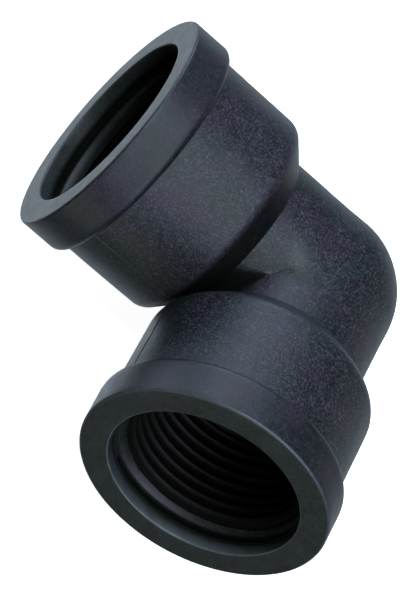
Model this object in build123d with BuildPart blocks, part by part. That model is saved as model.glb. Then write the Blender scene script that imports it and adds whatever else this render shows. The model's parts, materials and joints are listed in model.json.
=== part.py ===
from build123d import *
import os
from math import radians, tan

# 90 degree elbow with two tapered female pipe threads, 1 inch size, 11.5 threads per inch.
# The two port axes lie in the XY plane and cross at the origin: the inlet opens towards +X
# and the outlet towards +Y. The fitting is one moulding, divided here along its own steps
# and edges into solids that meet face to face.

# Driving dimensions, mm
centre_to_face = 46.0       # from the crossing of the axes to each mouth
socket_length = 25.0        # mouth to the rim where the shoulder starts
socket_wall_end = 26.0      # the socket wall takes in the rim and the start of the shoulder
band_width = 8.0
band_r = 22.5
socket_front_r = 20.8       # the socket wall has a slight draft
socket_back_r = 20.65
neck_r = 15.95              # the shoulder falls at 45 degrees from the socket to the neck
ball_r = 16.2               # the outside corner of the bend stands a little proud of the necks
waterway_r = 12.5
waterway_end = 7.0          # how far each straight core of the waterway runs past the crossing
waterway_end_chamfer = 4.0
neck_root = 4.0             # how far each neck is buried in the ball

# Mouth, depths are measured from the mouth's face
mouth_r = 17.25             # plain counterbore that clears the pipe
mouth_bevel = 0.3
counterbore_depth = 2.6
lead_groove_end = 4.1
lead_groove_r = 17.85
lead_groove_start = 50.0    # where the lead groove begins, degrees about the port axis
lead_groove_arc = 315.0
lead_chamfer_r = 17.1       # the 45 degree chamfer that cuts the first thread
lead_end = 5.5
liner_r = 18.4              # outside of the thread and lead-in rings

# Thread
pitch = 25.4 / 11.5
taper = 1 / 32              # fall of the radius for each mm of depth
thread_turns = 8
first_crest_depth = 7.1
first_crest_r = 14.85
crest_flat = 0.3
root_flat = 0.15
flank_angle = 30.0
thread_run_out = 0.8        # plain length behind the last crest

# Edge rounds
face_round = 0.45
band_back_round = 1.4
shoulder_round = 3.0        # between the socket wall and the 45 degree shoulder

flank_run = (pitch - crest_flat - root_flat) / 2
thread_depth = flank_run / tan(radians(flank_angle))
thread_end = first_crest_depth + (thread_turns - 1) * pitch + thread_run_out
shoulder_end = centre_to_face - socket_wall_end
shoulder_end_r = socket_back_r - (socket_wall_end - socket_length)
shoulder_start = shoulder_end - (shoulder_end_r - neck_r)
lead_chamfer_end_r = lead_chamfer_r - (lead_end - lead_groove_end)

ports = {
    "inlet": Plane(origin=(0, 0, 0), x_dir=(1, 0, 0), z_dir=(0, 0, 1)),
    "outlet": Plane(origin=(0, 0, 0), x_dir=(0, 1, 0), z_dir=(0, 0, -1)),
}


def at(depth, radius):
    """A point of a port's half section, from its depth behind the mouth's face."""
    return (centre_to_face - depth, radius)


def thread_section():
    """Half section of the thread ring, from the mouth side inwards."""
    points = [at(lead_end, liner_r), at(lead_end, lead_chamfer_end_r)]
    first_groove = first_crest_depth - pitch / 2
    for turn in range(thread_turns):
        groove = first_groove + turn * pitch
        crest = groove + pitch / 2
        crest_r = first_crest_r - taper * turn * pitch
        root_r = crest_r + thread_depth
        if turn > 0:
            points.append(at(groove - root_flat / 2, root_r))
        points.append(at(groove + root_flat / 2, root_r))
        points.append(at(crest - crest_flat / 2, crest_r))
        points.append(at(crest + crest_flat / 2, crest_r))
    points.append(at(thread_end, points[-1][1]))
    points.append(at(thread_end, liner_r))
    return points


os.makedirs("parts", exist_ok=True)

# Bend: the two necks run into a ball at the outside corner and meet in a mitre at the throat,
# and the waterway is left by two straight cores with chamfered ends
with BuildPart() as bend:
    Sphere(ball_r)
    for plane in ports.values():
        with BuildSketch(Plane(origin=plane.origin - plane.x_dir * neck_root, z_dir=plane.x_dir)):
            Circle(neck_r)
        extrude(amount=neck_root + shoulder_start)
    for plane in ports.values():
        with BuildSketch(plane):
            with BuildLine():
                Polyline(
                    (-waterway_end, 0),
                    (-waterway_end, waterway_r - waterway_end_chamfer),
                    (waterway_end_chamfer - waterway_end, waterway_r),
                    (shoulder_end, waterway_r),
                    (shoulder_end, 0),
                    close=True,
                )
            make_face()
        revolve(axis=Axis(plane.origin, plane.x_dir), mode=Mode.SUBTRACT)
bend.part.label = "elbow_bend"
export_step(bend.part, "parts/elbow_bend.step")

for port, plane in ports.items():
    axis = Axis((0, 0, 0), plane.x_dir)

    # Shoulder: the 45 degree cone that joins the neck to the back of the socket
    with BuildPart() as shoulder:
        with BuildSketch(plane):
            with BuildLine():
                Polyline(
                    (shoulder_start, waterway_r),
                    (shoulder_start, neck_r),
                    (shoulder_end, shoulder_end_r),
                    (shoulder_end, waterway_r),
                    close=True,
                )
            make_face()
        revolve(axis=axis)
    shoulder.part.label = f"{port}_shoulder"
    export_step(shoulder.part, f"parts/{port}_shoulder.step")

    # Pipe stop: closes the back of the socket down to the waterway
    with BuildPart() as stop:
        with BuildSketch(plane):
            with BuildLine():
                Polyline(
                    at(thread_end, waterway_r),
                    at(thread_end, liner_r),
                    at(socket_wall_end, liner_r),
                    at(socket_wall_end, waterway_r),
                    close=True,
                )
            make_face()
        revolve(axis=axis)
    stop.part.label = f"{port}_pipe_stop"
    export_step(stop.part, f"parts/{port}_pipe_stop.step")

    # Socket wall: the sleeve behind the band, with a rounded rim where the shoulder starts
    with BuildPart() as wall:
        with BuildSketch(plane) as wall_section:
            with BuildLine():
                Polyline(
                    at(band_width, liner_r),
                    at(band_width, socket_front_r),
                    at(socket_length, socket_back_r),
                    at(socket_wall_end, shoulder_end_r),
                    at(socket_wall_end, liner_r),
                    close=True,
                )
            make_face()
            rim = wall_section.vertices().sort_by_distance(
                plane.from_local_coords(Vector(*at(socket_length, socket_back_r), 0))
            )[0]
            fillet(rim, radius=shoulder_round)
        revolve(axis=axis)
    wall.part.label = f"{port}_socket_wall"
    export_step(wall.part, f"parts/{port}_socket_wall.step")

    # Reinforcing band: the thick collar that carries the mouth's face and its counterbore
    with BuildPart() as band:
        with BuildSketch(plane):
            with BuildLine():
                Polyline(
                    at(0, mouth_r + mouth_bevel),
                    at(0, band_r),
                    at(band_width, band_r),
                    at(band_width, liner_r),
                    at(counterbore_depth, liner_r),
                    at(counterbore_depth, mouth_r),
                    at(mouth_bevel, mouth_r),
                    close=True,
                )
            make_face()
        revolve(axis=axis)
        rims = band.edges().filter_by(GeomType.CIRCLE).filter_by(lambda edge: edge.radius > band_r - face_round)
        back_rim, face_rim = rims.sort_by(axis)
        fillet(face_rim, radius=face_round)
        fillet(back_rim, radius=band_back_round)
    band.part.label = f"{port}_band"
    export_step(band.part, f"parts/{port}_band.step")

    # Lead-in: a relief groove that starts bluntly, then the chamfer that guides the pipe
    with BuildPart() as lead:
        with BuildSketch(plane):
            with BuildLine():
                Polyline(
                    at(counterbore_depth, liner_r),
                    at(lead_end, liner_r),
                    at(lead_end, lead_chamfer_end_r),
                    at(lead_groove_end, lead_chamfer_r),
                    at(counterbore_depth, lead_chamfer_r),
                    close=True,
                )
            make_face()
        revolve(axis=axis)
        groove_side = plane.z_dir.rotate(axis, lead_groove_start)
        with BuildSketch(Plane(origin=plane.origin, x_dir=plane.x_dir, z_dir=groove_side)):
            with BuildLine():
                Polyline(
                    at(counterbore_depth, lead_chamfer_r - mouth_bevel),
                    at(counterbore_depth, lead_groove_r),
                    at(lead_groove_end, lead_groove_r),
                    at(lead_groove_end, lead_chamfer_r - mouth_bevel),
                    close=True,
                )
            make_face()
        revolve(axis=axis, revolution_arc=lead_groove_arc, mode=Mode.SUBTRACT)
    lead.part.label = f"{port}_lead_in"
    export_step(lead.part, f"parts/{port}_lead_in.step")

    # Thread ring: one crest for each turn, each a little smaller than the one before
    with BuildPart() as thread:
        with BuildSketch(plane):
            with BuildLine():
                Polyline(*thread_section(), close=True)
            make_face()
        revolve(axis=axis)
    thread.part.label = f"{port}_thread"
    export_step(thread.part, f"parts/{port}_thread.step")
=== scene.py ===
import json
import math

import bmesh
import bpy
from mathutils import Matrix, Vector, noise


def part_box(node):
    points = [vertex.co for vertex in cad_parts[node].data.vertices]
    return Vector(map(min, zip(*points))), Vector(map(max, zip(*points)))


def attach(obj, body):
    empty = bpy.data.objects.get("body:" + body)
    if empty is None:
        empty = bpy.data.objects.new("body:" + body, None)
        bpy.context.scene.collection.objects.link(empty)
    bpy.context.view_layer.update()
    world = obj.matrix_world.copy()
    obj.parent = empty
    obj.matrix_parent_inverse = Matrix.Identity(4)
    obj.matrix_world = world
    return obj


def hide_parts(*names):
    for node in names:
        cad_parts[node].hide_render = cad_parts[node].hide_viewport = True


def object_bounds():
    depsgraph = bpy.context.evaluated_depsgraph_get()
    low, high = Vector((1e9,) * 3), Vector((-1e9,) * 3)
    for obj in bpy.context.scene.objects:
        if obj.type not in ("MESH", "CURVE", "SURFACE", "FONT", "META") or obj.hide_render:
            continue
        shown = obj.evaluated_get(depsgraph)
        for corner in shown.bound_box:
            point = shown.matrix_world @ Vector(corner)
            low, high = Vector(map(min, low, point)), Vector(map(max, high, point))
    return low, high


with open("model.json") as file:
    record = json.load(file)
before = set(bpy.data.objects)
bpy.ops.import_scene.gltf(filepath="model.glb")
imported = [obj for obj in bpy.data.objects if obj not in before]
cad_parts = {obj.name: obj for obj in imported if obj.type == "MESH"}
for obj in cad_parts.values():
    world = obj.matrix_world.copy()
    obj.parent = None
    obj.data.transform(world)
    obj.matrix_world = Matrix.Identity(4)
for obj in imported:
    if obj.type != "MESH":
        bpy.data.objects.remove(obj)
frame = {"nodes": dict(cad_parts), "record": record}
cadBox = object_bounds()
print("frame loaded:", len(frame["nodes"]), "nodes")

mm = 0.001
mounts = {m["name"]: m for m in frame["record"]["mounts"]}


# ---- sizes read from the frame

def spanOf(node, axis):
    low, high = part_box(node)
    return low[axis], high[axis]


sizes = {}
sizes["bandBack"], sizes["face"] = spanOf("inlet_band", 0)
sizes["bandR"] = spanOf("inlet_band", 2)[1]
sizes["wallEnd"], sizes["shoulderR"] = spanOf("inlet_shoulder", 0)[1], spanOf("inlet_shoulder", 2)[1]
sizes["socketR"] = spanOf("inlet_socket_wall", 2)[1]
sizes["shoulderStart"] = spanOf("inlet_shoulder", 0)[0]
sizes["neckR"] = sizes["shoulderR"] - (sizes["wallEnd"] - sizes["shoulderStart"])    # a 45 degree cone
sizes["ballR"] = spanOf("elbow_bend", 2)[1]
sizes["linerR"] = spanOf("inlet_thread", 2)[1]
sizes["threadEnd"], sizes["leadEnd"] = spanOf("inlet_thread", 0)
sizes["leadStart"] = spanOf("inlet_lead_in", 0)[1]
sizes["mouthR"] = mounts["inlet_counterbore"]["dims"]["r_mm"] * mm
sizes["boreR"] = mounts["waterway_x"]["dims"]["r_mm"] * mm

ports = {
    "inlet": {"axis": Vector((1, 0, 0)), "side": Vector((0, 1, 0)), "lift": Vector((0, 0, 1))},
    "outlet": {"axis": Vector((0, 1, 0)), "side": Vector((1, 0, 0)), "lift": Vector((0, 0, -1))},
}


# ---- shader maths: a wire is a socket that takes part in Python expressions

class Wire:
    def __init__(self, graph, socket):
        self.graph = graph
        self.socket = socket

    def math(self, operation, other=None, clamp=False, swap=False):
        values = [self] if other is None else [self, other]
        if swap:
            values.reverse()
        settings = {"operation": operation, "use_clamp": clamp}
        return self.graph.node("ShaderNodeMath", settings, dict(enumerate(values)))

    def __add__(self, other):
        return self.math("ADD", other)

    def __sub__(self, other):
        return self.math("SUBTRACT", other)

    def __rsub__(self, other):
        return self.math("SUBTRACT", other, swap=True)

    def __mul__(self, other):
        return self.math("MULTIPLY", other)

    __radd__ = __add__
    __rmul__ = __mul__

    def clamped(self):
        return self.math("ADD", 0.0, clamp=True)

    def most(self, other):
        return self.math("MAXIMUM", other)

    def other(self, name):    # another output of the same node
        return Wire(self.graph, self.socket.node.outputs[name])

    def ramp(self, start, end):    # 0 below start, 1 above end, eased between
        settings = {"interpolation_type": "SMOOTHSTEP"}
        return self.graph.node("ShaderNodeMapRange", settings,
                               {"Value": self, "From Min": start, "From Max": end})


class Graph:
    def __init__(self, owner):    # a material or a world, whose nodes are made anew
        owner.use_nodes = True
        self.tree = owner.node_tree
        self.tree.nodes.clear()

    def node(self, kind, settings=None, inputs=None, output=0):
        made = self.tree.nodes.new(kind)
        for key, value in (settings or {}).items():
            setattr(made, key, value)
        for key, value in (inputs or {}).items():
            if isinstance(value, Wire):
                self.tree.links.new(value.socket, made.inputs[key])
            else:
                made.inputs[key].default_value = value
        return Wire(self, made.outputs[output]) if len(made.outputs) else None

    def blendColours(self, factor, first, second):
        settings = {"data_type": "RGBA", "clamp_factor": True}
        wire = self.node("ShaderNodeMix", settings, {0: factor, 6: first, 7: second})
        return Wire(self, wire.socket.node.outputs[2])

    def stretched(self, vector, amounts):
        settings = {"operation": "MULTIPLY"}
        return self.node("ShaderNodeVectorMath", settings, {0: vector, 1: amounts})

    def shifted(self, vector, amount, by):    # vector + amount * by, for warping a pattern
        settings = {"operation": "MULTIPLY_ADD"}
        return self.node("ShaderNodeVectorMath", settings, {0: by, 1: (amount,) * 3, 2: vector})

    def cloud(self, vector, scale, detail=2.0, roughness=0.5):
        inputs = {"Vector": vector, "Scale": scale, "Detail": detail, "Roughness": roughness}
        return self.node("ShaderNodeTexNoise", {}, inputs, "Fac")

    def cells(self, vector, scale):    # distance to the nearest of scattered points
        return self.node("ShaderNodeTexVoronoi", {}, {"Vector": vector, "Scale": scale}, "Distance")


def rgb(red, green, blue):
    return (red, green, blue, 1.0)


plasticLooks = {    # what differs between the surfaces of the moulding; the mouth look is a lighter copy of the plastic as painted light, the thread look a darker copy as painted shade
    "shell": {
        "blue": rgb(0.0080, 0.0130, 0.0170), "violet": rgb(0.0235, 0.0125, 0.0300),
        "dark": rgb(0.0045, 0.0055, 0.0060), "fleck": rgb(0.14, 0.155, 0.18),
        "flecks": 0.9, "fibres": 0.9, "roughness": 0.44, "grain": 1.25, "wearAndHighlight": 0.5,
    },
    "band": {
        "blue": rgb(0.0080, 0.0125, 0.0165), "violet": rgb(0.0215, 0.0120, 0.0270),
        "dark": rgb(0.0050, 0.0060, 0.0065), "fleck": rgb(0.10, 0.115, 0.135),
        "flecks": 0.4, "fibres": 0.4, "roughness": 0.43, "grain": 0.65, "wearAndHighlight": 1.1,
    },
    # a lighter, greenish copy of the plastic for the mouth faces and lead-in: painted light
    "mouth": {
        "blue": rgb(0.024, 0.028, 0.025), "violet": rgb(0.019, 0.023, 0.022),
        "dark": rgb(0.010, 0.012, 0.010), "fleck": rgb(0.14, 0.16, 0.17),
        "flecks": 0.3, "fibres": 0.3, "roughness": 0.44, "grain": 0.6, "wearAndHighlight": 1.3,
    },
    # a darker, olive copy of the plastic with dim flecks for the threads and pipe stop: painted shade
    "thread": {
        "blue": rgb(0.0110, 0.0120, 0.0080), "violet": rgb(0.0095, 0.0105, 0.0068),
        "dark": rgb(0.0028, 0.0028, 0.0018), "fleck": rgb(0.035, 0.040, 0.030),
        "flecks": 0.2, "fibres": 0.2, "roughness": 0.50, "grain": 0.3, "wearAndHighlight": 0.4,
    },
}


patternValues = {    # scales are features for each millimetre
    "drift": 0.17, "patches": 0.62, "warp": 0.35, "warpReach": 2.6, "streaks": 1.15, "strands": 1.3,
    "specks": 1.5, "grit": 2.7, "streakStretch": (0.55, 0.55, 1.9), "strandStretch": (1.9, 0.8, 0.65),
    "bump": 0.42, "bumpDepth": 0.10 * mm, "wornRoughness": 0.12,
}
# painted shade: the dull near-black layer mixed over the plastic
paintedShadeValues = {"colour": rgb(0.0045, 0.0046, 0.0026), "roughness": 0.9, "specular": 0.05, "cover": 0.92}


def mouldedPlastic(name, look):
    v = patternValues
    material = bpy.data.materials.new(name)
    graph = Graph(material)
    place = graph.node("ShaderNodeTexCoord", {}, {}, "Object")
    here = graph.stretched(place, (1 / mm,) * 3)    # millimetres from here on

    drift = graph.cloud(here, v["drift"], 3.0, 0.6)    # broad colour drift of the melt
    patches = graph.cloud(here, v["patches"], 4.0, 0.62)
    warping = {"Vector": here, "Scale": v["warp"], "Detail": 2.0}
    warp = graph.node("ShaderNodeTexNoise", {}, warping, "Color")
    flow = graph.shifted(here, v["warpReach"], warp)
    streaks = graph.cells(graph.stretched(flow, v["streakStretch"]), v["streaks"])
    strands = graph.cells(graph.stretched(flow, v["strandStretch"]), v["strands"])
    fibre = (1 - streaks.ramp(0.08, 0.34)).most(1 - strands.ramp(0.08, 0.30))
    fibre = fibre * patches.ramp(0.36, 0.60)
    specks = graph.cells(here, v["specks"])
    lucky = graph.node("ShaderNodeSeparateColor", {}, {"Color": specks.other("Color")}, "Red")
    fleck = (1 - specks.ramp(0.06, 0.20)) * lucky.ramp(0.60, 0.95)    # only some cells hold a fleck
    grit = graph.cloud(here, v["grit"], 3.0, 0.7)
    # lighter, smoother marks from a mesh attribute: partly edge wear, partly painted highlight on the
    # mouth rims and counterbore walls, and a painted glint at the top of the throat crease
    rubAndHighlight = graph.node("ShaderNodeAttribute", {"attribute_name": "rubAndHighlight"}, {}, "Fac")
    rubbedAndHighlighted = (rubAndHighlight * (0.55 + 0.9 * patches)).clamped() * look["wearAndHighlight"]

    colour = graph.blendColours(drift.ramp(0.40, 0.60), look["blue"], look["violet"])
    colour = graph.blendColours((1 - patches.ramp(0.34, 0.60)) * 0.7, colour, look["dark"])
    colour = graph.blendColours(grit.ramp(0.46, 0.72) * look["grain"] * 0.34, colour, look["fleck"])
    colour = graph.blendColours((1 - grit.ramp(0.28, 0.50)) * look["grain"] * 0.8, colour, look["dark"])
    colour = graph.blendColours(fibre * look["fibres"] * 0.36, colour, look["fleck"])
    colour = graph.blendColours(fleck * look["flecks"], colour, look["fleck"])
    colour = graph.blendColours((rubbedAndHighlighted * 0.7).clamped(), colour, look["fleck"])

    rough = look["roughness"] + (patches - 0.5) * 0.2 + (grit - 0.5) * 0.2 + fibre * 0.05
    rough = rough - rubbedAndHighlighted * v["wornRoughness"]
    height = grit * look["grain"] + patches * 0.8 + fibre * look["fibres"] * 0.35
    relief = {"Height": height, "Strength": v["bump"], "Distance": v["bumpDepth"]}
    bump = graph.node("ShaderNodeBump", {}, relief)
    surface = graph.node("ShaderNodeBsdfPrincipled", {}, {
        "Base Color": colour, "Roughness": rough.clamped(), "Normal": bump,
        "IOR": 1.54, "Specular IOR Level": 0.5})

    # a dull near-black shader is mixed over the plastic wherever the mesh attribute marks it: painted
    # shade in creases, thread roots, the counterbore groove and behind the sockets
    paintedShade = graph.node("ShaderNodeBsdfPrincipled", {}, {
        "Base Color": paintedShadeValues["colour"], "Roughness": paintedShadeValues["roughness"],
        "Specular IOR Level": paintedShadeValues["specular"], "Normal": bump})
    paintedShadeMask = graph.node("ShaderNodeAttribute", {"attribute_name": "paintedShadeMask"}, {}, "Fac")
    cover = paintedShadeMask * paintedShadeValues["cover"]
    both = graph.node("ShaderNodeMixShader", {}, {0: cover, 1: surface, 2: paintedShade})
    graph.node("ShaderNodeOutputMaterial", {}, {"Surface": both})
    return material


materials = {key: mouldedPlastic("plastic_" + key, look) for key, look in plasticLooks.items()}
print("materials made:", len(materials))


# ---- meshes

meshValues = {"waves": 160, "fineWaves": 700, "fineShare": 0.3,    # unevenness, waves for each metre
              "rubAndHighlightFade": 4, "lineClear": 1.6, "lineFlank": 0.45, "sharp": 32}


def eased(t):
    t = min(1.0, max(0.0, t))
    return t * t * (3 - 2 * t)


def corner(along, radius, rounding=0.0, rubAndHighlight=0.0):
    return {"at": Vector((along, radius)), "round": rounding, "rubAndHighlight": rubAndHighlight}


def roundedSection(corners, steps=6, gap=0.9 * mm):
    # closed outline of (along, radius, rub and painted highlight), with arcs at the corners and the long
    # sides divided
    outline = []
    for index, here in enumerate(corners):
        before = corners[index - 1]["at"] - here["at"]
        after = corners[(index + 1) % len(corners)]["at"] - here["at"]
        if here["round"] == 0.0:
            outline.append((here["at"].x, here["at"].y, here["rubAndHighlight"]))
            continue
        half = before.angle(after) / 2
        reach = here["round"] / math.tan(half)
        start = here["at"] + before.normalized() * reach
        end = here["at"] + after.normalized() * reach
        middle = here["at"] + (before.normalized() + after.normalized()).normalized() * (
            here["round"] / math.sin(half))
        first = math.atan2(start.y - middle.y, start.x - middle.x)
        turn = math.atan2(end.y - middle.y, end.x - middle.x) - first
        turn = (turn + math.pi) % (2 * math.pi) - math.pi
        for step in range(steps + 1):
            angle = first + turn * step / steps
            fade = math.sin(math.pi * step / steps)
            outline.append((middle.x + here["round"] * math.cos(angle),
                            middle.y + here["round"] * math.sin(angle), here["rubAndHighlight"] * fade))
    divided = []
    for index, (along, radius, rubAndHighlight) in enumerate(outline):
        nextAlong, nextRadius, nextRubAndHighlight = outline[(index + 1) % len(outline)]
        parts = max(1, round(math.hypot(nextAlong - along, nextRadius - radius) / gap))
        for part in range(parts):
            t = part / parts
            fade = ((1 - t) if rubAndHighlight > nextRubAndHighlight else t) ** meshValues["rubAndHighlightFade"]
            shade = rubAndHighlight if parts == 1 else max(rubAndHighlight, nextRubAndHighlight) * fade
            divided.append((along + (nextAlong - along) * t, radius + (nextRadius - radius) * t, shade))
    return divided


def turnAngles(count, lines=(), width=0.0):
    # evenly spread angles, with five close ones at each raised line
    angles = [2 * math.pi * i / count for i in range(count)]
    clear, flank = width * meshValues["lineClear"], width * meshValues["lineFlank"]
    for line in lines:
        angles = [a for a in angles if abs((a - line + math.pi) % (2 * math.pi) - math.pi) > clear]
        angles += [line - width, line - flank, line, line + flank, line + width]
    return sorted(a % (2 * math.pi) for a in angles)


def finishMesh(name, mesh, sharpDegrees, material):
    work = bmesh.new()
    work.from_mesh(mesh)
    bmesh.ops.recalc_face_normals(work, faces=work.faces)
    work.to_mesh(mesh)
    work.free()
    mesh.shade_smooth()
    mesh.set_sharp_from_angle(angle=math.radians(sharpDegrees))
    piece = bpy.data.objects.new(name, mesh)
    bpy.context.scene.collection.objects.link(piece)
    mesh.materials.append(material)
    return piece


def paint(mesh, name, values):
    layer = mesh.attributes.new(name, "FLOAT", "POINT")
    layer.data.foreach_set("value", values)


def turned(name, port, sectionAt, angles, material, waver=0.0, sharp=meshValues["sharp"]):
    # a closed ring of plastic: the section at each angle, joined all round the port's axis
    v = meshValues
    axis, side, lift = port["axis"], port["side"], port["lift"]
    points, rubAndHighlights, paintedShadeMasks = [], [], []
    for angle in angles:
        outward = side * math.cos(angle) + lift * math.sin(angle)
        for along, radius, rubAndHighlight, paintedShadeMask in sectionAt(angle):
            spot = axis * along + outward * radius
            push = noise.noise(spot * v["waves"]) * waver
            push += noise.noise(spot * v["fineWaves"]) * waver * v["fineShare"]
            points.append(spot + outward * push)
            rubAndHighlights.append(rubAndHighlight)
            paintedShadeMasks.append(paintedShadeMask)
    across = len(points) // len(angles)
    faces = []
    for i in range(len(angles)):
        row, nextRow = i * across, (i + 1) % len(angles) * across
        for j in range(across):
            k = (j + 1) % across
            faces.append((row + j, row + k, nextRow + k, nextRow + j))
    mesh = bpy.data.meshes.new(name)
    mesh.from_pydata(points, [], faces)
    paint(mesh, "rubAndHighlight", rubAndHighlights)
    paint(mesh, "paintedShadeMask", paintedShadeMasks)
    return finishMesh(name, mesh, sharp, material)


def standFor(piece, *nodes):
    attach(piece, "root")
    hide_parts(*nodes)
    return piece


# ---- reinforcing band

bandValues = {
    "faceRound": 0.45 * mm, "backRound": 1.4 * mm, "bevel": 0.3 * mm, "waver": 0.03 * mm, "around": 256,
    "creaseDrop": 0.5 * mm, "creaseDepth": 0.6 * mm,    # painted shade in the crease where the band meets the socket wall, and deeper in the counterbore
    "faceWearAndHighlight": {"inlet": 0.25, "outlet": 1.0}, "highlightAngle": math.radians(120), "leastWearAndHighlight": 0.15,
    "wallWearAndHighlight": 2.4 * mm, "wallDark": 2.0 * mm, "wallReach": 0.1 * mm, "faceReach": 0.02 * mm,
}


def makeBand(portName, port):
    v = bandValues
    outline = roundedSection([
        corner(sizes["face"], sizes["mouthR"], v["bevel"], v["faceWearAndHighlight"][portName]),
        corner(sizes["face"], sizes["bandR"], v["faceRound"], v["faceWearAndHighlight"][portName]),
        corner(sizes["bandBack"], sizes["bandR"], v["backRound"]),
        corner(sizes["bandBack"], sizes["linerR"]),
        corner(sizes["leadStart"], sizes["linerR"]),
        corner(sizes["leadStart"], sizes["mouthR"]),
    ])

    def sectionAt(angle):
        markedSection = []
        # the face rims and counterbore wall are lightened toward one side, more on the outlet: a painted
        # highlight, dappled like wear
        wearAndHighlight = v["faceWearAndHighlight"][portName] * max(v["leastWearAndHighlight"], math.cos(angle - v["highlightAngle"]))
        for along, radius, rubAndHighlight in outline:
            depth, paintedShadeMask = sizes["face"] - along, 0.0
            # near the mouth the wall gets painted highlight, deeper in it gets painted shade; the crease
            # behind the band gets painted shade
            if radius < sizes["mouthR"] + v["wallReach"]:
                rubAndHighlight = max(rubAndHighlight, wearAndHighlight * (1 - eased(depth / v["wallWearAndHighlight"])))
                paintedShadeMask = eased((depth - v["wallDark"]) / v["creaseDepth"])
            if along < sizes["bandBack"] + v["creaseDepth"]:
                paintedShadeMask = eased((sizes["bandR"] - v["creaseDrop"] - radius) / v["creaseDepth"])
            markedSection.append((along, radius, rubAndHighlight, paintedShadeMask))
        return markedSection

    piece = turned(portName + "_band_body", port, sectionAt, turnAngles(v["around"]),
                   materials["band"], v["waver"])
    # the mouth faces and bevel take the lighter copy of the plastic, as painted light
    piece.data.materials.append(materials["mouth"])
    for polygon in piece.data.polygons:
        along = polygon.center.dot(port["axis"])
        away = (polygon.center - port["axis"] * along).length
        if sizes["face"] - along < v["faceReach"] or away < sizes["mouthR"] + v["bevel"]:
            polygon.material_index = 1
    return standFor(piece, portName + "_band")


# ---- socket wall

wallValues = {
    "rimRound": 3.0 * mm, "rimSteps": 10, "rimRub": 0.1, "draft": 0.15 * mm, "waver": 0.05 * mm,
    "around": 256, "seamHeight": 0.09 * mm, "seamWidth": 0.012, "seamFrom": 1.0 * mm,    # width in radians
    "paintedShadeTo": {"inlet": math.radians(114), "outlet": math.radians(56)},
    "paintedShadeFade": math.radians(52), "paintedShade": 0.85, "paintedShadeRise": 1.5 * mm,
}


def fromThroat(angle):    # angle about a port's axis, measured from the throat's side
    return abs((angle + math.pi) % (2 * math.pi) - math.pi)


def paintedBackShade(portName, angle, along):
    # painted shade behind each socket on the throat's side
    v = wallValues
    near = eased((v["paintedShadeTo"][portName] - fromThroat(angle)) / v["paintedShadeFade"])
    return v["paintedShade"] * near * eased((sizes["wallEnd"] + v["paintedShadeRise"] - along) / v["paintedShadeRise"])


def makeSocketWall(portName, port):
    v = wallValues
    rimR = sizes["socketR"] - v["draft"]
    outline = roundedSection([
        corner(sizes["bandBack"], sizes["linerR"]),
        corner(sizes["bandBack"], sizes["socketR"]),
        corner(sizes["wallEnd"] + rimR - sizes["shoulderR"], rimR, v["rimRound"], v["rimRub"]),
        corner(sizes["wallEnd"], sizes["shoulderR"]),
        corner(sizes["wallEnd"], sizes["linerR"]),
    ], v["rimSteps"])

    def sectionAt(angle):
        fromSeam = abs((angle + math.pi / 2) % math.pi - math.pi / 2)
        lift = v["seamHeight"] * max(0.0, 1 - fromSeam / (v["seamWidth"] / 2))
        raised = []
        for along, radius, rubAndHighlight in outline:
            outside = radius > sizes["linerR"] + v["seamFrom"]
            spread = radius + (lift if outside else 0.0)
            raised.append((along, spread, rubAndHighlight, paintedBackShade(portName, angle, along)))
        return raised

    angles = turnAngles(v["around"], (0.0, math.pi), v["seamWidth"])
    piece = turned(portName + "_socket_sleeve", port, sectionAt, angles, materials["shell"], v["waver"])
    return standFor(piece, portName + "_socket_wall")


# ---- shoulder and pipe stop

shoulderValues = {"around": 224, "waver": 0.05 * mm}
stopValues = {"around": 192, "edgeRound": 0.5 * mm, "edgeRub": 0.5}


def makeShoulder(portName, port):
    outline = roundedSection([
        corner(sizes["shoulderStart"], sizes["boreR"]),
        corner(sizes["shoulderStart"], sizes["neckR"]),
        corner(sizes["wallEnd"], sizes["shoulderR"]),
        corner(sizes["wallEnd"], sizes["boreR"]),
    ])

    def sectionAt(angle):
        return [(along, radius, rubAndHighlight, paintedBackShade(portName, angle, along)) for along, radius, rubAndHighlight in outline]

    angles = turnAngles(shoulderValues["around"])
    piece = turned(portName + "_shoulder_cone", port, sectionAt, angles, materials["shell"],
                   shoulderValues["waver"])
    return standFor(piece, portName + "_shoulder")


def makePipeStop(portName, port):
    v = stopValues
    outline = roundedSection([
        corner(sizes["threadEnd"], sizes["boreR"], v["edgeRound"], v["edgeRub"]),
        corner(sizes["threadEnd"], sizes["linerR"]),
        corner(sizes["wallEnd"], sizes["linerR"]),
        corner(sizes["wallEnd"], sizes["boreR"]),
    ])
    # the pipe stop gets no painted shade mask; its darker copy of the plastic stands in for the shade
    unshadedSection = [(along, radius, rubAndHighlight, 0.0) for along, radius, rubAndHighlight in outline]
    piece = turned(portName + "_stop_ring", port, lambda angle: unshadedSection, turnAngles(v["around"]),
                   materials["thread"])
    return standFor(piece, portName + "_pipe_stop")


# ---- lead-in and thread: one surface, cut where the two pieces meet

threadValues = {
    "pitch": 25.4 / 11.5 * mm, "firstCrest": 7.1 * mm, "crestR": 14.85 * mm, "taper": 1 / 32,
    "crestHalf": 0.15 * mm, "rootHalf": 0.075 * mm, "flank": math.radians(30), "flankEase": 0.3,
    "runOut": 0.6,    # of a pitch
    "grooveEnd": 4.1 * mm, "grooveR": 18.15 * mm, "chamferR": 17.1 * mm, "grooveEdge": 0.15 * mm,
    "grooveFrom": math.radians(50), "grooveTo": math.radians(365), "blunt": math.radians(5),
    "fade": math.radians(70), "paintedShade": {"inlet": 0.95, "outlet": 0.7}, "paintedShadeRise": 1.2 * mm,
    "paintedGrooveShade": 2.2, "rootUnshaded": 0.04, "rootFade": 0.4, "around": 320, "sharp": 50,
}
innerRings = {    # node: name of its piece, plastic, divisions along the axis
    "lead_in": ("_lead_ring", "mouth", 24),
    "thread": ("_thread_ring", "thread", 144),
}


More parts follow.
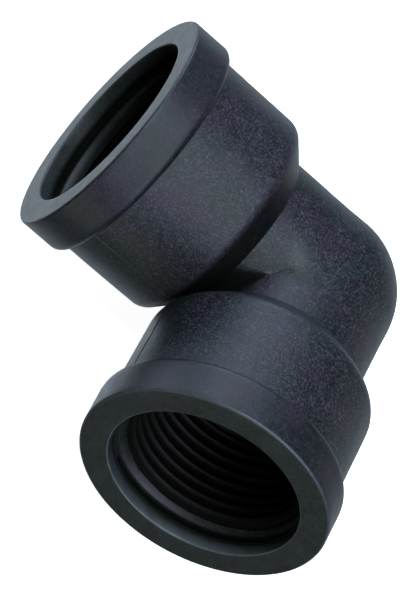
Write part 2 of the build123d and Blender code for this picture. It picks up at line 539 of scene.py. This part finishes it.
def threadRadius(depth, angle):
    # radius, and how deep in the root it lies, from 0 at the crest to 1
    v = threadValues
    run = (v["pitch"] - 2 * v["crestHalf"] - 2 * v["rootHalf"]) / 2
    turn = (depth - v["firstCrest"]) / v["pitch"] + angle / (2 * math.pi)
    fromCrest = abs(turn - round(turn)) * v["pitch"]
    rise = min(1.0, max(0.0, (fromCrest - v["crestHalf"]) / run))
    rise = (1 - v["flankEase"]) * rise + v["flankEase"] * eased(rise)
    deepest = sizes["face"] - sizes["threadEnd"]
    rise *= eased((deepest - depth) / (v["runOut"] * v["pitch"]))
    crestR = v["crestR"] - v["taper"] * (depth - v["firstCrest"])
    return crestR + rise * run / math.tan(v["flank"]), rise


def leadRadius(depth, angle):
    # radius of the counterbore's groove and chamfer, and how deep in the groove it lies
    v = threadValues
    start = sizes["face"] - sizes["leadStart"]
    chamfer = v["chamferR"] - max(0.0, depth - v["grooveEnd"])
    fromBlunt = (angle - v["grooveFrom"]) % (2 * math.pi)
    length = v["grooveTo"] - v["grooveFrom"]
    around = eased(fromBlunt / v["blunt"]) * eased((length - fromBlunt) / v["fade"])
    across = eased((depth - start) / v["grooveEdge"]) * eased((v["grooveEnd"] - depth) / v["grooveEdge"])
    return chamfer + (v["grooveR"] - v["chamferR"]) * around * across, around * across


def mouthSurface(depth, angle):
    # radius and painted shade, of whichever lies further out: the chamfer or the thread cut into it
    v = threadValues
    lead, inGroove = leadRadius(depth, angle)
    if depth <= v["grooveEnd"]:
        return lead, eased(inGroove * v["paintedGrooveShade"])
    cut, inRoot = threadRadius(depth, angle)
    return (cut, eased((inRoot - v["rootUnshaded"]) / v["rootFade"])) if cut > lead else (lead, 0.0)


def makeInnerRing(portName, port, node):
    v = threadValues
    label, plastic, stations = innerRings[node]
    last, first = spanOf("inlet_" + node, 0)    # the outlet's is as far along its own axis
    depths = [sizes["face"] - first + (first - last) * i / stations for i in range(stations + 1)]

    def sectionAt(angle):
        inner = []
        for depth in depths:
            radius, paintedShadeMask = mouthSurface(depth, angle)
            past = depth - (sizes["face"] - sizes["leadEnd"]) + v["paintedShadeRise"]
            # painted shade deepening toward the back of the thread, stronger in the inlet
            paintedShadeMask = max(paintedShadeMask, v["paintedShade"][portName] * eased(past / v["paintedShadeRise"]))
            inner.append((sizes["face"] - depth, radius, 0.0, paintedShadeMask))
        back = [(last, sizes["linerR"], 0.0, 1.0), (first, sizes["linerR"], 0.0, 1.0)]
        return inner + back

    piece = turned(portName + label, port, sectionAt, turnAngles(v["around"]), materials[plastic],
                   sharp=v["sharp"])
    return standFor(piece, portName + "_" + node)


# ---- bend: the ball corner, the mitred throat and the rounded waterway, as one closed shell

bendValues = {
    "turnSteps": 44, "aroundSteps": 224, "sharp": 24,
    "blendStart": 4.0 * mm, "blendLength": 9.0 * mm, "bulgeRise": 1.6,    # necks into the ball
    "waver": 0.05 * mm, "waves": 150, "waverRise": 3,
    "throatRound": 0.2 * mm, "sideRound": 9.0 * mm,
    "creaseEnd": math.radians(44), "creaseFade": math.radians(36), "paintedGlint": 0.4 * mm,
    "paintedShade": 34.0 * mm, "paintedShadeLean": 0.09, "paintedShadeCore": 0.2,
}


def throatFillet(theta):
    # the crease between the legs is sharp at the throat and rounded towards the top and bottom
    v = bendValues
    past = fromThroat(theta) - v["creaseEnd"]
    return v["throatRound"] + v["sideRound"] * eased(past / v["creaseFade"])


def paintedThroatShade(spot, theta):
    # a wedge of painted shade along the crease, widest at the throat and gone where the crease ends
    v = bendValues
    lean = v["paintedShadeLean"] if spot.y > spot.x else 0.0
    reach = v["paintedShade"] * (v["creaseEnd"] + lean - fromThroat(theta))
    if reach <= 0:
        return 0.0
    return 1 - eased((abs(spot.x - spot.y) / reach - v["paintedShadeCore"]) / (1 - v["paintedShadeCore"]))


def bendPoint(radius, proud, theta, share):
    # on the inlet's half: from the shoulder's end (share 0) to the mitre plane (share 1)
    end = sizes["shoulderStart"]
    inner = radius * math.cos(theta)
    height = radius * math.sin(theta)
    if inner > 0:
        fillet = min(throatFillet(theta), end - inner)
        straight = end - inner - fillet
        gone = share * (straight + fillet * math.pi / 4)
        if gone <= straight:
            return Vector((end - gone, inner, height))
        phi = (gone - straight) / fillet
        centre = inner + fillet
        return Vector((centre - fillet * math.sin(phi), centre - fillet * math.cos(phi), height))
    gone = share * (end - inner * math.pi / 4)
    bulge = proud * eased((gone - end + bendValues["blendStart"]) / bendValues["blendLength"])
    bulge *= eased(-math.cos(theta) * bendValues["bulgeRise"])
    if gone <= end:
        out = radius + bulge
        return Vector((end - gone, out * math.cos(theta), out * math.sin(theta)))
    phi = (gone - end) / -inner
    around = Vector((inner * math.sin(phi), inner * math.cos(phi), height))
    return around * (1 + bulge / radius)


def makeBend():
    v = bendValues
    around, steps = v["aroundSteps"], v["turnSteps"]
    points, rubAndHighlights, paintedShadeMasks, faces, grids = [], [], [], [], []
    creaseTop = bendPoint(sizes["neckR"], 0.0, v["creaseEnd"], 1.0)
    for radius, proud in ((sizes["neckR"], sizes["ballR"] - sizes["neckR"]), (sizes["boreR"], 0.0)):
        grid = []
        for mirrored in (False, True):
            for step in range(steps + (0 if mirrored else 1)):
                row = []
                for i in range(around):
                    share = step / steps if not mirrored else (steps - 1 - step) / steps
                    theta = 2 * math.pi * i / around
                    spot = bendPoint(radius, proud, theta, share)
                    paintedShadeMasks.append(paintedThroatShade(spot, theta))
                    # a painted glint: a tiny lightened spot at the top of the throat crease
                    rubAndHighlights.append(float((spot - creaseTop).length < v["paintedGlint"]))
                    if mirrored:
                        spot = Vector((spot.y, spot.x, spot.z))
                    if share > 0 and proud:    # the outside, away from the joint with the shoulder
                        push = noise.noise(spot * v["waves"])
                        spot += spot.normalized() * push * v["waver"] * eased(share * v["waverRise"])
                    row.append(len(points))
                    points.append(spot)
                grid.append(row)
        grids.append(grid)
        for lower, upper in zip(grid, grid[1:]):
            for i in range(around):
                k = (i + 1) % around
                faces.append((lower[i], lower[k], upper[k], upper[i]))
    outer, inner = grids
    for end in (0, -1):
        for i in range(around):
            k = (i + 1) % around
            faces.append((outer[end][i], outer[end][k], inner[end][k], inner[end][i]))
    mesh = bpy.data.meshes.new("bend_shell")
    mesh.from_pydata(points, [], faces)
    paint(mesh, "rubAndHighlight", rubAndHighlights)
    paint(mesh, "paintedShadeMask", paintedShadeMasks)
    return standFor(finishMesh("bend_shell", mesh, v["sharp"], materials["shell"]), "elbow_bend")


makeBend()
for portName, port in ports.items():
    makeBand(portName, port)
    makeSocketWall(portName, port)
    makeShoulder(portName, port)
    makePipeStop(portName, port)
    makeInnerRing(portName, port, "lead_in")
    makeInnerRing(portName, port, "thread")


# ---- camera

cameraValues = {    # fitted to the rims of both mouths and bands
    "right": (-0.7288, -0.3787, 0.5705), "up": (0.6301, -0.6969, 0.3424),    # of the view
    "lens": 239.1, "sensor": 36, "distance": 0.6896, "aim": (16.3 * mm, 1.4 * mm), "clip": (0.05, 20),
}


def makeCamera():
    v = cameraValues
    right = Vector(v["right"]).normalized()
    up = (Vector(v["up"]) - right * right.dot(Vector(v["up"]))).normalized()
    back = right.cross(up)
    data = bpy.data.cameras.new("camera")
    data.lens = v["lens"]
    data.sensor_width = v["sensor"]
    data.clip_start, data.clip_end = v["clip"]
    camera = bpy.data.objects.new("camera", data)
    turn = Matrix((right, up, back)).transposed()
    camera.matrix_world = turn.to_4x4()
    camera.location = back * v["distance"] - right * v["aim"][0] - up * v["aim"][1]
    bpy.context.scene.collection.objects.link(camera)
    bpy.context.scene.camera = camera
    return right, up, back


right, up, back = makeCamera()


# ---- floor, light

floorValues = {"size": 3.0, "dull": rgb(0.92, 0.92, 0.92), "bright": rgb(0.96, 0.96, 0.96),
               "mottle": 0.4, "detail": 3.0, "glow": 0.95}


def makeFloor():
    v = floorValues
    size = v["size"]
    mesh = bpy.data.meshes.new("floor")
    low = cadBox[0].z
    spots = [Vector((x, y, low)) for x, y in ((-size, -size), (size, -size), (size, size), (-size, size))]
    mesh.from_pydata(spots, [], [(0, 1, 2, 3)])
    floor = bpy.data.objects.new("floor", mesh)
    bpy.context.scene.collection.objects.link(floor)
    material = bpy.data.materials.new("floor_paper")
    graph = Graph(material)
    place = graph.node("ShaderNodeTexCoord", {}, {}, "Object")
    speck = graph.cloud(graph.stretched(place, (1 / mm,) * 3), v["mottle"], v["detail"])
    paper = graph.blendColours(speck, v["dull"], v["bright"])
    surface = graph.node("ShaderNodeBsdfPrincipled", {}, {
        "Base Color": paper, "Roughness": 0.9, "Specular IOR Level": 0.1,
        "Emission Color": rgb(1, 1, 1), "Emission Strength": v["glow"]})
    graph.node("ShaderNodeOutputMaterial", {}, {"Surface": surface})
    mesh.materials.append(material)
    floor.visible_diffuse = False    # the paper shows white without lighting the plastic from below
    floor.visible_glossy = False
    floor.visible_shadow = False


# The lamps were first found by a fit, then merged, rounded and changed.
lightValues = {    # toward: how far to the right, up and towards the viewer
    "frontHigh": {"toward": (0.29, 0.36, 0.88), "size": 0.46, "power": 3.5, "colour": (0.78, 0.93, 1.0)},
    "frontLow": {"toward": (0.50, -0.32, 0.80), "size": 0.46, "power": 1.5, "colour": (0.80, 0.97, 1.0)},
    "frontRight": {"toward": (0.67, 0.25, 0.70), "size": 0.46, "power": 1.2, "colour": (0.72, 0.78, 1.0)},
    "front": {"toward": (0.06, -0.35, 0.93), "size": 0.46, "power": 0.8, "colour": (0.84, 0.88, 1.0)},
    "low": {"toward": (0.20, -0.77, 0.60), "size": 0.46, "power": 2.0, "colour": (0.66, 0.68, 1.0)},
    "lowLeft": {"toward": (-0.52, -0.80, 0.20), "size": 0.50, "power": 0.75, "colour": (0.88, 1.0, 0.82)},
    "top": {"toward": (0.17, 0.97, -0.16), "size": 0.46, "power": 2.1, "colour": (0.60, 0.72, 1.0)},
    "topRight": {"toward": (0.49, 0.86, 0.12), "size": 0.46, "power": 1.2, "colour": (0.66, 0.78, 1.0)},
    "topFront": {"toward": (0.04, 0.91, 0.38), "size": 0.46, "power": 1.4, "colour": (0.72, 0.88, 1.0)},
    "topLeft": {"toward": (-0.46, 0.86, -0.06), "size": 0.46, "power": 1.6, "colour": (0.70, 0.80, 1.0)},
    "behind": {"toward": (-0.42, 0.38, -0.82), "size": 0.50, "power": 0.5, "colour": (0.75, 0.87, 1.0)},
    "right": {"toward": (0.88, 0.05, -0.45), "size": 0.50, "power": 0.18, "colour": (0.92, 1.0, 0.88)},
}
lightDistance = 0.9


def makeLight(name, v):
    lean = (right * v["toward"][0] + up * v["toward"][1] + back * v["toward"][2]).normalized()
    data = bpy.data.lights.new(name, "AREA")
    data.shape = "DISK"
    data.size = v["size"]
    data.energy = v["power"]
    data.color = v["colour"]
    lamp = bpy.data.objects.new(name, data)
    lamp.location = lean * lightDistance
    lamp.rotation_mode = "QUATERNION"
    lamp.rotation_quaternion = lean.to_track_quat("Z", "Y")
    lamp.visible_camera = False    # the lamps light the object and are never seen themselves
    bpy.context.scene.collection.objects.link(lamp)


makeFloor()
for name, values in lightValues.items():
    makeLight(name, values)

worldValues = {"backdrop": 1.0, "ambient": rgb(0.006, 0.007, 0.005), "rim": rgb(0.58, 0.70, 0.78),
               "rimFrom": 0.48, "rimTo": 0.86}


def makeWorld():
    # white to the camera, dim all round the object, with a glow straight behind that rims its outline
    v = worldValues
    world = bpy.data.worlds.new("studio")
    graph = Graph(world)
    place = graph.node("ShaderNodeTexCoord", {}, {}, "Generated")
    settings = {"operation": "DOT_PRODUCT"}
    along = graph.node("ShaderNodeVectorMath", settings, {0: place, 1: tuple(-back)}, "Value")
    around = graph.blendColours(along.ramp(v["rimFrom"], v["rimTo"]), v["ambient"], v["rim"])
    seen = graph.node("ShaderNodeLightPath", {}, {}, "Is Camera Ray")
    colour = graph.blendColours(seen, around, rgb(*(v["backdrop"],) * 3))
    sky = graph.node("ShaderNodeBackground", {}, {"Color": colour, "Strength": 1.0})
    graph.node("ShaderNodeOutputWorld", {}, {"Surface": sky})
    return world


bpy.context.scene.world = makeWorld()
bpy.context.scene.view_settings.view_transform = "Standard"
print("camera, floor and lights made")
